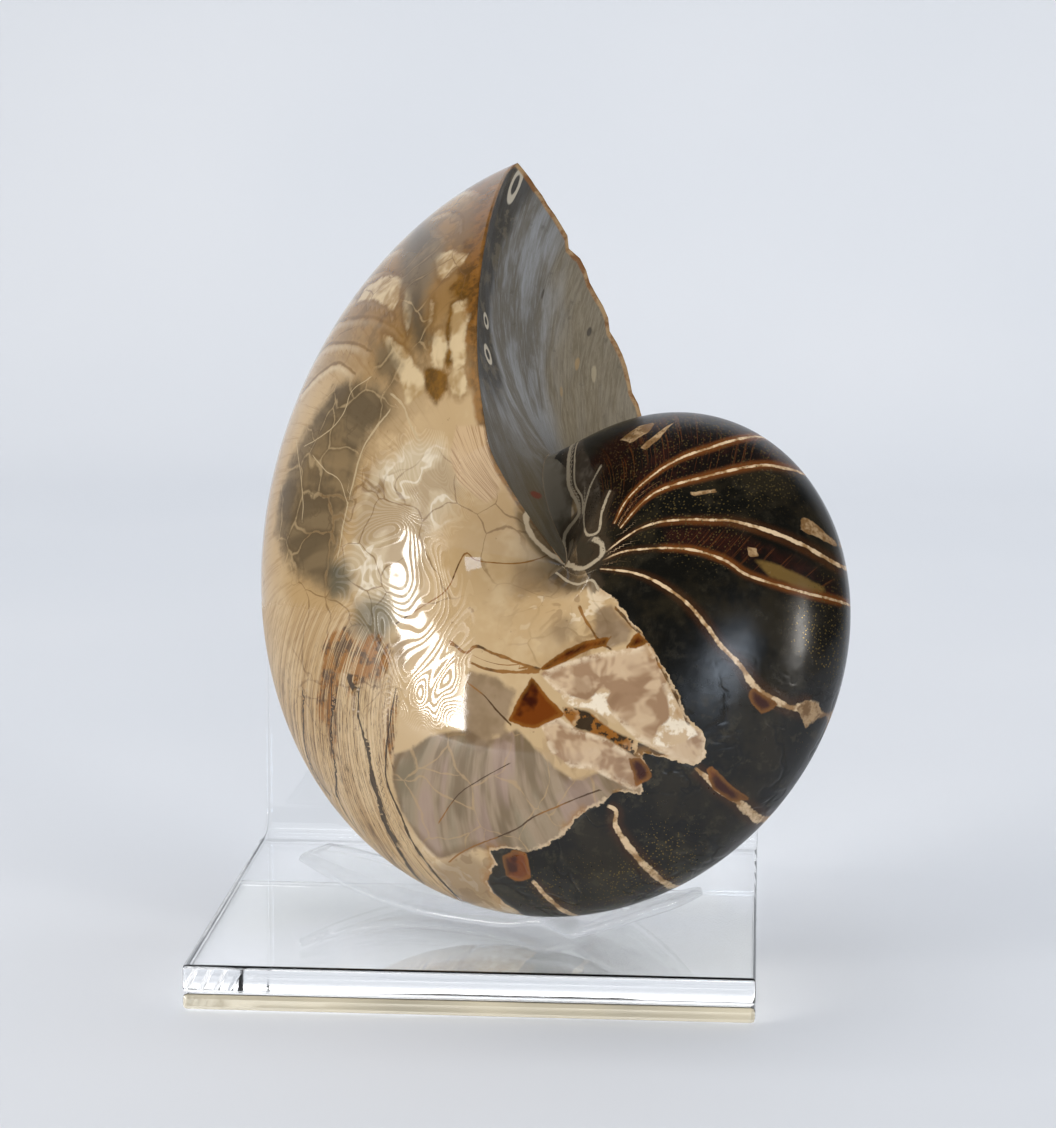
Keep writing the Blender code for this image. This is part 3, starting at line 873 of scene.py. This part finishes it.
    # The layered window low on the flank, and the glazed spots beside it
    nacre = zone("nacre", 0.5, -0.4, 0.6)
    rays = paint.flat_noise(growth * 70.0, share * 3.0, 3.0, 0.6)
    pearl = rays.tones(0.38, 0.64, (150, 130, 106), (112, 94, 70))
    pearl = pearl.under(bands.rise(0.5, 0.62) * 0.5, (160, 134, 124))
    pearl = pearl.under(bands.rise(0.48, 0.32) * 0.35, (120, 116, 94))
    pearl = pearl.under(broad.rise(0.45, 0.6) * 0.5, (130, 106, 76))
    pearl = pearl.under(cell_edge.rise(0.026, 0.0) * 0.55, (174, 144, 104))
    pearl = pearl.under(field("nacre").rise(2.2, 0.3) * cloud.rise(0.4, 0.56) * 0.6, (104, 78, 46))
    paint.lay(nacre * 0.95, pearl)
    paint.lay(zone("glaze", 0.8, -0.8, 0.6) * 0.8, cloud.tones(0.42, 0.6, (138, 116, 92), (112, 90, 66)))
    # The loose flap of shell, its white scars and the gap under it, painted dark as shade with amber and
    # cream bits in it
    flap = zone("flap", 0.4, -0.3, 0.3)
    flesh = blotch.tones(0.46, 0.56, (196, 168, 136), (152, 120, 92))
    flesh = flesh.under(marble.rise(0.54, 0.6) * 0.6, (130, 98, 72))
    flesh = flesh.under(field("flap").rise(1.8, 0.2) * fine.rise(0.4, 0.55) * 0.7, (228, 208, 178))
    paint.lay(flap * 0.9, flesh)
    white = zone("white", 0.7, -0.3, 0.3)
    paint.lay(white * 0.85, fine.tones(0.42, 0.56, (238, 224, 200), (196, 168, 132)))
    # The gap under the flap: dark painted shade, broken by amber and cream
    under = zone("under_flap", 0.5, -0.4, 0.2)
    gap_colour_and_shade = fine.tones(0.44, 0.52, (40, 27, 14), cloud.tones(0.45, 0.55, (138, 84, 26), (196, 166, 124)))
    paint.lay(under * 0.95, gap_colour_and_shade)
    # Weathered streaks, pits, rust and seams at the lower left
    paint.lay(worn * streaks.rise(0.48, 0.66) * 0.65, (142, 108, 68))
    paint.lay(worn * streaks.rise(0.48, 0.34) * 0.5, (204, 180, 146))
    lower = paint.part(spot, "Z").rise(COIL_Z - 0.005, COIL_Z - 0.03)
    pits = paint.flat_noise(turn * 150.0, grain * 260.0, 2.0, 0.7)
    paint.lay((pits + (streaks - 0.5) * 0.35).rise(0.61, 0.66) * worn * lower * 0.85, (48, 36, 26))
    rust = zone("rust", 2.5, -1.0, 0.8) * (streaks + swell * 0.5).rise(0.44, 0.54)
    paint.lay(rust * 0.9, fine.tones(0.45, 0.6, (142, 90, 28), (72, 44, 18)))
    seams = paint.flat_noise(turn * 9.0, grain * 34.0, 2.0, 0.6)
    paint.lay((abs(seams - 0.5) + grit * 0.02).rise(0.016, 0.004) * worn * lower * 0.75, (92, 66, 40))
    # Veins, cracks and amber pieces
    jag = swell * 9.0
    paint.lay(line_mask(paint, "veins", jag, grit * 1.6) * 0.75, (190, 168, 132))
    cracks = line_mask(paint, "cracks", jag * 0.8, grit * 2.2)
    paint.lay(cracks * 0.9, cloud.tones(0.46, 0.54, (66, 42, 20), (134, 88, 36)))
    paint.lay(line_mask(paint, "spirals", jag * 0.6, grit * 3.0) * 0.9, (42, 30, 20))
    depth = field("amber") + grit * 1.1
    honey = cloud.tones(0.44, 0.54, (108, 52, 8), (54, 16, 1))
    honey = honey.under(depth.rise(1.2, 0.1) * 0.5, (150, 100, 40))
    # The broken edge of the shell over the dark filling: a patchy brown band along it, partly the shell's
    # own brown and partly a painted shadow line, and a thin pale rim
    ragged = field("filling") + swell * 3.2 + grit * 2.6
    filling = ragged.rise(-0.1, 0.12)
    paint.lay(ragged.rise(-2.4, -0.1) * cloud.rise(0.42, 0.58) * 0.75, (150, 106, 54))
    paint.lay(ragged.rise(-0.8, -0.2) * fine.rise(0.38, 0.52) * 0.7, (206, 180, 146))
    paint.lay(zone("foot", 0.3, -0.2, 0.3), cloud.tones(0.4, 0.6, (112, 104, 90), (76, 68, 54)))
    # The filling: near-black stone, red-brown glassy strips, chamber walls and chips
    stone = cloud.tones(0.44, 0.6, (9, 7, 2), (32, 26, 13))
    stone = stone.under(fine.rise(0.54, 0.66) * (0.2 + lower * 0.5), (54, 48, 34))
    veined = abs(marble - 0.5)
    stone = stone.under(veined.rise(0.02, 0.004) * lower * 0.75, (4, 3, 2))
    flakes = paint.cells(spot, 1500.0)
    specks = (flakes + broad.rise(0.62, 0.42) * 0.3).rise(0.3, 0.18)
    garnet = cloud.tones(0.46, 0.56, (36, 12, 4), (14, 6, 2))
    garnet = garnet.under(streaks.rise(0.56, 0.64) * 0.5, (88, 48, 16))
    stone = stone.under(zone("glassy", 1.2, -1.4, 1.4), garnet)
    stone = stone.under(zone("tan", 0.7, -0.4, 0.6) * 0.85, (112, 86, 40))
    walls = abs(field("walls") + swell * 2.4) * 1.15 + grit * 2.4
    near = field("walls_near")
    beyond = (field("glassy") + 3.0).rise(0.0, 3.0)
    stone = stone.under(walls.rise(7.0, 1.2) * near * (0.25 + beyond) * 0.75, (104, 56, 14))
    septum = walls.rise(1.3, 0.8) * near
    stone = stone.under(septum, fine.tones(0.42, 0.62, (212, 184, 146), (150, 114, 72)))
    chips = (field("chips") + grit * 1.4).rise(-0.1, 0.15)
    stone = stone.under(chips, fine.tones(0.4, 0.6, (172, 142, 104), (116, 84, 48)))
    stone = stone.under(specks * 0.6, (156, 132, 78))
    # The filling and all that lies over it, out to the rings round the axis
    paint.lay(filling, stone)
    paint.lay(depth.rise(-0.15, 0.2), honey)
    # Painted shade in the hollow round the axis
    paint.lay(field("axis").rise(13.0, 4.0) * cloud.rise(0.36, 0.56) * 0.8, (60, 52, 40))
    # The grey wedge by the axis, its darker patches painted shade
    paint.lay(zone("wedge", 0.5, -0.4, 0.5) * 0.9, cloud.tones(0.44, 0.56, (112, 100, 86), (64, 54, 42)))
    # Painted shade beside the pale rings round the axis
    paint.lay(field("rings_near") * cloud.rise(0.3, 0.5) * 0.7, (60, 48, 34))
    paint.lay(line_mask(paint, "rings", swell * 4.0, grit * 1.8) * 0.9, (176, 160, 134))
    # Gloss, with contour lines of the shell's layers, and a low relief
    paint.set(Base_Color=paint.colour, Metallic=specks * filling * 0.8)
    contour = (paint.noise(spot, 46.0, 1.0, 0.4, 1.2) * 40.0).fract()
    layers = abs(contour - 0.5).rise(0.3, 0.12) * field("layered").rise(-6.0, -1.0)
    paint.set(Roughness=0.06 + worn * 0.3 + layers * 0.45 + filling * (0.1 + fine * (0.16 + lower * 0.2)))
    knobs = paint.noise(spot, 110.0, 2.0)
    stony = field("filling").rise(-0.5, 0.5)
    folds = veined.rise(0.05, 0.0) * stony * lower
    height = knobs * (0.6 + stony * (0.4 + lower * 3.0)) - layers * 0.08 - folds * 1.5
    height = height - field("spirals_near") * 2.0
    paint.set(Normal=paint.bump(height, 0.00009))
    return paint.mat


# Small tubes and flecks in the sediment: place across and up the mouth, then half sizes, in mm
MOUTH_RINGS = [(1.9, 93.6, 1.0, 3.0), (-4.0, 61.8, 1.3, 1.5), (-6.8, 53.0, 1.5, 1.9)]
MOUTH_SPOTS = [(26.2, 57.0, 0.8, 1.6, (170, 140, 96)), (30.5, 55.0, 0.6, 2.0, (176, 160, 130)),
               (28.0, 64.5, 0.6, 1.2, (62, 52, 42)), (-10.7, 17.5, 1.4, 1.0, (104, 40, 20)),
               (16.0, 72.0, 0.5, 1.2, (72, 64, 54)), (22.0, 50.0, 0.5, 1.4, (160, 134, 96))]


def mouth_paint():
    """Grey sediment in the mouth, streaked upright, with a thin tan lip of shell round it."""
    paint = Paint("mouth sediment", IOR=1.5)
    spot = paint.place()
    plane = paint.node("ShaderNodeUVMap", 0, {"uv_map": "mouth"})
    across = paint.part(plane, "X") * 100.0
    level = paint.part(plane, "Y") * 100.0
    fine = paint.noise(spot, 300.0, 4.0, 0.65)
    swell = paint.noise(spot, 60.0, 3.0, 0.6) - 0.5
    grit = fine - 0.5

    def oval(x, y, wide, high):
        """Distance from the middle of an oval, 1 on its edge."""
        return (((across - x) / wide).power(2.0) + ((level - y) / high).power(2.0)).power(0.5)

    streaks = paint.flat_noise(across * 1.7, level * 0.17, 4.0, 0.75)
    broad = paint.flat_noise(across * 0.22, level * 0.04, 3.0, 0.62)
    paint.colour = broad.tones(0.4, 0.62, (112, 106, 95), (144, 143, 141))
    paint.lay(streaks.rise(0.5, 0.66) * 0.28, (170, 172, 178))
    paint.lay(streaks.rise(0.5, 0.34) * 0.3, (92, 82, 64))
    olive = (across + swell * 8.0).rise(13.0, 24.0)
    paint.lay(olive * 0.85, streaks.tones(0.3, 0.7, (120, 106, 82), (146, 132, 106)))
    deep = (level + swell * 12.0).rise(48.0, 20.0)
    paint.lay(deep * 0.85, (78, 66, 42))
    paint.lay(fine.rise(0.6, 0.72) * 0.4, (78, 68, 56))
    lip = paint.attribute("lip") + grit * 0.6
    shaded = (across - level * 0.22 + 17.0 + swell * 7.0).rise(4.5, 1.0) * level.rise(36.0, 48.0)
    paint.lay(shaded * 0.8, fine.tones(0.5, 0.62, (46, 41, 33), (98, 88, 70)))
    for x, y, wide, high, tone in MOUTH_SPOTS:
        fleck = oval(x, y, wide, high)
        paint.lay((fleck + grit * 0.8).rise(1.1, 0.7) * 0.8, tone)
    for x, y, wide, high in MOUTH_RINGS:
        ring = oval(x, y, wide, high)
        paint.lay(ring.rise(1.1, 0.9) * 0.8, (62, 58, 52))
        paint.lay((abs(ring - 1.0) + grit * 0.2).rise(0.42, 0.22) * 0.9, (210, 198, 176))
    paint.lay(lip.rise(0.95, 0.6), fine.tones(0.4, 0.6, (136, 88, 38), (186, 150, 104)))
    paint.set(Base_Color=paint.colour, Roughness=0.45 + fine * 0.15)
    paint.set(Normal=paint.bump(streaks + fine, 0.00012))
    return paint.mat


nautilus = build_nautilus()
nautilus.data.materials.append(shell_paint())
nautilus.data.materials.append(mouth_paint())
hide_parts("nautilus")
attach(nautilus, "root")


# The cradle
# A clear strip, heat-formed to follow the underside of the shell, with one low
# foot. It rests on the base and carries the fossil.
CRADLE_THICK = 0.0020
CRADLE_LEFT = -0.0540
CRADLE_RIGHT = 0.0400
CRADLE_FRONT = -0.0030
CRADLE_REACH = 0.0240
CRADLE_FOOT = 0.0150
CRADLE_X = 0.0079
CRADLE_Y = -0.0048
CRADLE_LOWEST = 0.0013
CRADLE_WAVE = 0.0017
WAVE_AT = 0.007
WAVE_WIDE = 0.006
LIFT_FROM = -0.012
LIFT_LENGTH = 0.042
LIFT_HEIGHT = 0.0087
FOOT_FROM = 0.0095
ALONG_STEPS = 170
EDGE_STEPS = 7


def cradle_level(along):
    """Height of the strip: rising to the left, a small wave, a foot, then rising to the right."""
    bend = np.clip((LIFT_FROM - along) / LIFT_LENGTH, 0.0, 1.0)
    wave = np.exp(-(((along - WAVE_AT) / WAVE_WIDE) ** 2.0))
    left = CRADLE_LOWEST + LIFT_HEIGHT * bend ** 2.2 + CRADLE_WAVE * wave
    rise = np.clip(along - CRADLE_FOOT, 0.0, 1.0)
    right = CRADLE_LOWEST + 0.38 * rise + 1.5 * rise ** 2.0
    ease = np.clip((along - FOOT_FROM) / (CRADLE_FOOT - FOOT_FROM), 0.0, 1.0)
    ease = ease * ease * (3.0 - 2.0 * ease)
    return np.where(along < CRADLE_FOOT, left * (1.0 - ease) + CRADLE_LOWEST * ease, right)


def cradle_strip():
    """Loops round the strip's section, flat with round edges, one loop for each step along it."""
    along = np.linspace(CRADLE_LEFT, CRADLE_RIGHT, ALONG_STEPS)
    middle = (CRADLE_LEFT + CRADLE_RIGHT) / 2.0
    reach = (CRADLE_RIGHT - CRADLE_LEFT) / 2.0 * 1.04
    back = 0.003 + CRADLE_REACH * np.sqrt(1.0 - ((along - middle) / reach) ** 2.0)
    level = cradle_level(along)
    slope = np.gradient(level, along)
    half = CRADLE_THICK / 2.0
    turn = np.linspace(-math.pi / 2.0, math.pi / 2.0, EDGE_STEPS)
    section_y = np.concatenate([1.0 + 0.0 * turn, 0.0 * turn])
    round_out = np.concatenate([np.cos(turn), -np.cos(turn)]) * half
    round_up = np.concatenate([np.sin(turn), -np.sin(turn)]) * half
    width = (back - CRADLE_FRONT - 2.0 * half)[:, None]
    y = CRADLE_FRONT + half + section_y * width + round_out
    normal = np.stack([-slope, np.ones(len(slope))], 1) / np.hypot(slope, 1.0)[:, None]
    x = along[:, None] + round_up * normal[:, :1]
    z = level[:, None] + round_up * normal[:, 1:]
    right, axis, rise = coil_axes()
    away = np.array([math.sin(COIL_YAW), math.cos(COIL_YAW), 0.0])
    middle_point = np.array([CRADLE_X, CRADLE_Y, TOP_Z])
    up = np.array([0.0, 0.0, 1.0])
    points = middle_point + x[..., None] * right + y[..., None] * away + z[..., None] * up
    loops, size = points.shape[:2]
    start = np.arange(loops - 1)[:, None] * size + np.arange(size)[None, :]
    step = np.arange(loops - 1)[:, None] * size + (np.arange(size) + 1)[None, :] % size
    quads = np.stack([start, step, step + size, start + size], -1).reshape(-1, 4)
    ends = [list(range(size))[::-1], list(range((loops - 1) * size, loops * size))]
    ob = add_mesh("cradle_strip", points.reshape(-1, 3), quads.tolist() + ends)
    smooth(ob, 50.0)
    return ob


cradle = cradle_strip()
cradle.data.materials.append(clear_paint("formed clear plastic", (252, 253, 254), 0.7, 0.09, 0.4))
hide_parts("cradle")
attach(cradle, "root")
cradle.visible_shadow = False


# The backdrop
# A pale seamless sweep: a floor that curves up into a wall behind the object.
FLOOR_FRONT = -1.6
FLOOR_Z = -0.0004
FLOOR_BACK = 0.75
SWEEP_RADIUS = 0.35
WALL_TOP = 2.2
SWEEP_HALF = 2.2


def sweep():
    """Profile of a straight floor, a quarter circle and a straight wall, drawn out sideways."""
    turn = np.linspace(0.0, math.pi / 2.0, 24)
    wall_y = FLOOR_BACK + SWEEP_RADIUS
    y = np.concatenate([[FLOOR_FRONT], FLOOR_BACK + SWEEP_RADIUS * np.sin(turn), [wall_y]])
    z = np.concatenate([[0.0], SWEEP_RADIUS * (1.0 - np.cos(turn)), [WALL_TOP]]) + FLOOR_Z
    left = np.stack([np.full(len(y), -SWEEP_HALF), y, z], 1)
    points = np.concatenate([left, left * (-1.0, 1.0, 1.0)])
    faces = [(n, n + len(y), n + len(y) + 1, n + 1) for n in range(len(y) - 1)]
    ob = add_mesh("sweep", points, faces)
    for face in ob.data.polygons:
        face.use_smooth = True
    return ob


def paper_paint():
    """Pale matt paper, hardly uneven."""
    paint = Paint("pale paper", Roughness=0.7)
    spot = paint.place()
    faint = paint.noise(spot, 3.0, 2.0)
    paint.set(Base_Color=faint.tones(0.3, 0.7, (212, 215, 220), (217, 219, 223)))
    return paint.mat


backdrop = sweep()
backdrop.data.materials.append(paper_paint())


# Light and camera
# Soft daylight from a tall window at the left front, a weaker one behind the camera
# and one at the right, under a broad light from above.
COIL_CENTRE = (COIL_X, COIL_Y, COIL_Z)
WALL_MIDDLE = (0.2, FLOOR_BACK + SWEEP_RADIUS, 0.55)


def window(name, azimuth, elevation, distance, size, power, colour, target=COIL_CENTRE):
    """A soft rectangle of light in a direction from its target, facing it."""
    turn = math.radians(azimuth)
    lift = math.radians(elevation)
    toward = np.array([math.sin(turn) * math.cos(lift), -math.cos(turn) * math.cos(lift), math.sin(lift)])
    lamp = bpy.data.lights.new(name, "AREA")
    lamp.shape = "RECTANGLE"
    lamp.size, lamp.size_y = size
    lamp.energy = power
    lamp.color = colour
    ob = bpy.data.objects.new(name, lamp)
    bpy.context.collection.objects.link(ob)
    ob.location = np.array(target) + toward * distance
    side = np.cross([0.0, 0.0, 1.0], toward)
    side = side / np.linalg.norm(side)
    aim_at(ob, side, np.cross(toward, side), toward)
    return ob


def aim_at(ob, right, up, back):
    """Turns a camera or light by its own right, up and back directions."""
    turned = np.stack([right, up, back], 1)
    rows = [list(row) + [place] for row, place in zip(turned, ob.location)]
    ob.matrix_world = Matrix(rows + [[0.0, 0.0, 0.0, 1.0]])


window("left window", -56.0, 9.5, 1.3, (0.19, 0.44), 9.0, (1.0, 0.97, 0.92))
window("camera window", 8.0, 13.5, 1.5, (0.42, 0.42), 4.0, (0.74, 0.85, 1.0))
window("right window", 50.0, 14.0, 1.4, (0.18, 0.4), 4.0, (1.0, 0.97, 0.92))
overhead = window("overhead light", 0.0, 84.0, 1.7, (2.6, 2.0), 26.0, (0.97, 0.98, 1.0))
washer = window("backdrop light", 0.0, 50.0, 0.9, (1.8, 0.3), 5.6, (0.96, 0.98, 1.0), WALL_MIDDLE)
# The ceiling is matt, so these two broad lights leave no sharp reflections
overhead.visible_glossy = False
washer.visible_glossy = False

# Light is reflected many times between the clear sheets before it leaves them
CLEAR_BOUNCES = 10

world = bpy.data.worlds.new("soft room")
world.use_nodes = True
world.node_tree.nodes["Background"].inputs["Color"].default_value = linear((222, 228, 236))
world.node_tree.nodes["Background"].inputs["Strength"].default_value = 0.12
bpy.context.scene.world = world
bpy.context.scene.view_settings.view_transform = "Standard"
for limit in ("max_bounces", "glossy_bounces", "transmission_bounces"):
    setattr(bpy.context.scene.cycles, limit, CLEAR_BOUNCES)
bpy.context.scene.cycles.diffuse_bounces = 2

CAMERA_AT = (0.0589, -0.7239, 0.2073)
CAMERA_DOWN = math.radians(9.21)
CAMERA_TURN = math.radians(3.90)
CAMERA_ROLL = math.radians(0.31)
FOCAL_PIXELS = 3408.0
PHOTO_WIDTH = 1056.0


def place_camera():
    """A long lens in front of the stand, looking slightly down, as in the photograph."""
    forward = np.array([-math.sin(CAMERA_TURN) * math.cos(CAMERA_DOWN),
                        math.cos(CAMERA_TURN) * math.cos(CAMERA_DOWN), -math.sin(CAMERA_DOWN)])
    level = np.array([math.cos(CAMERA_TURN), math.sin(CAMERA_TURN), 0.0])
    upright = np.cross(level, forward)
    right = level * math.cos(CAMERA_ROLL) + upright * math.sin(CAMERA_ROLL)
    up = upright * math.cos(CAMERA_ROLL) - level * math.sin(CAMERA_ROLL)
    lens = bpy.data.cameras.new("camera")
    lens.sensor_width = 36.0
    lens.sensor_fit = "HORIZONTAL"
    lens.lens = FOCAL_PIXELS / PHOTO_WIDTH * lens.sensor_width
    ob = bpy.data.objects.new("camera", lens)
    bpy.context.collection.objects.link(ob)
    ob.location = CAMERA_AT
    aim_at(ob, right, up, -forward)
    bpy.context.scene.camera = ob


place_camera()
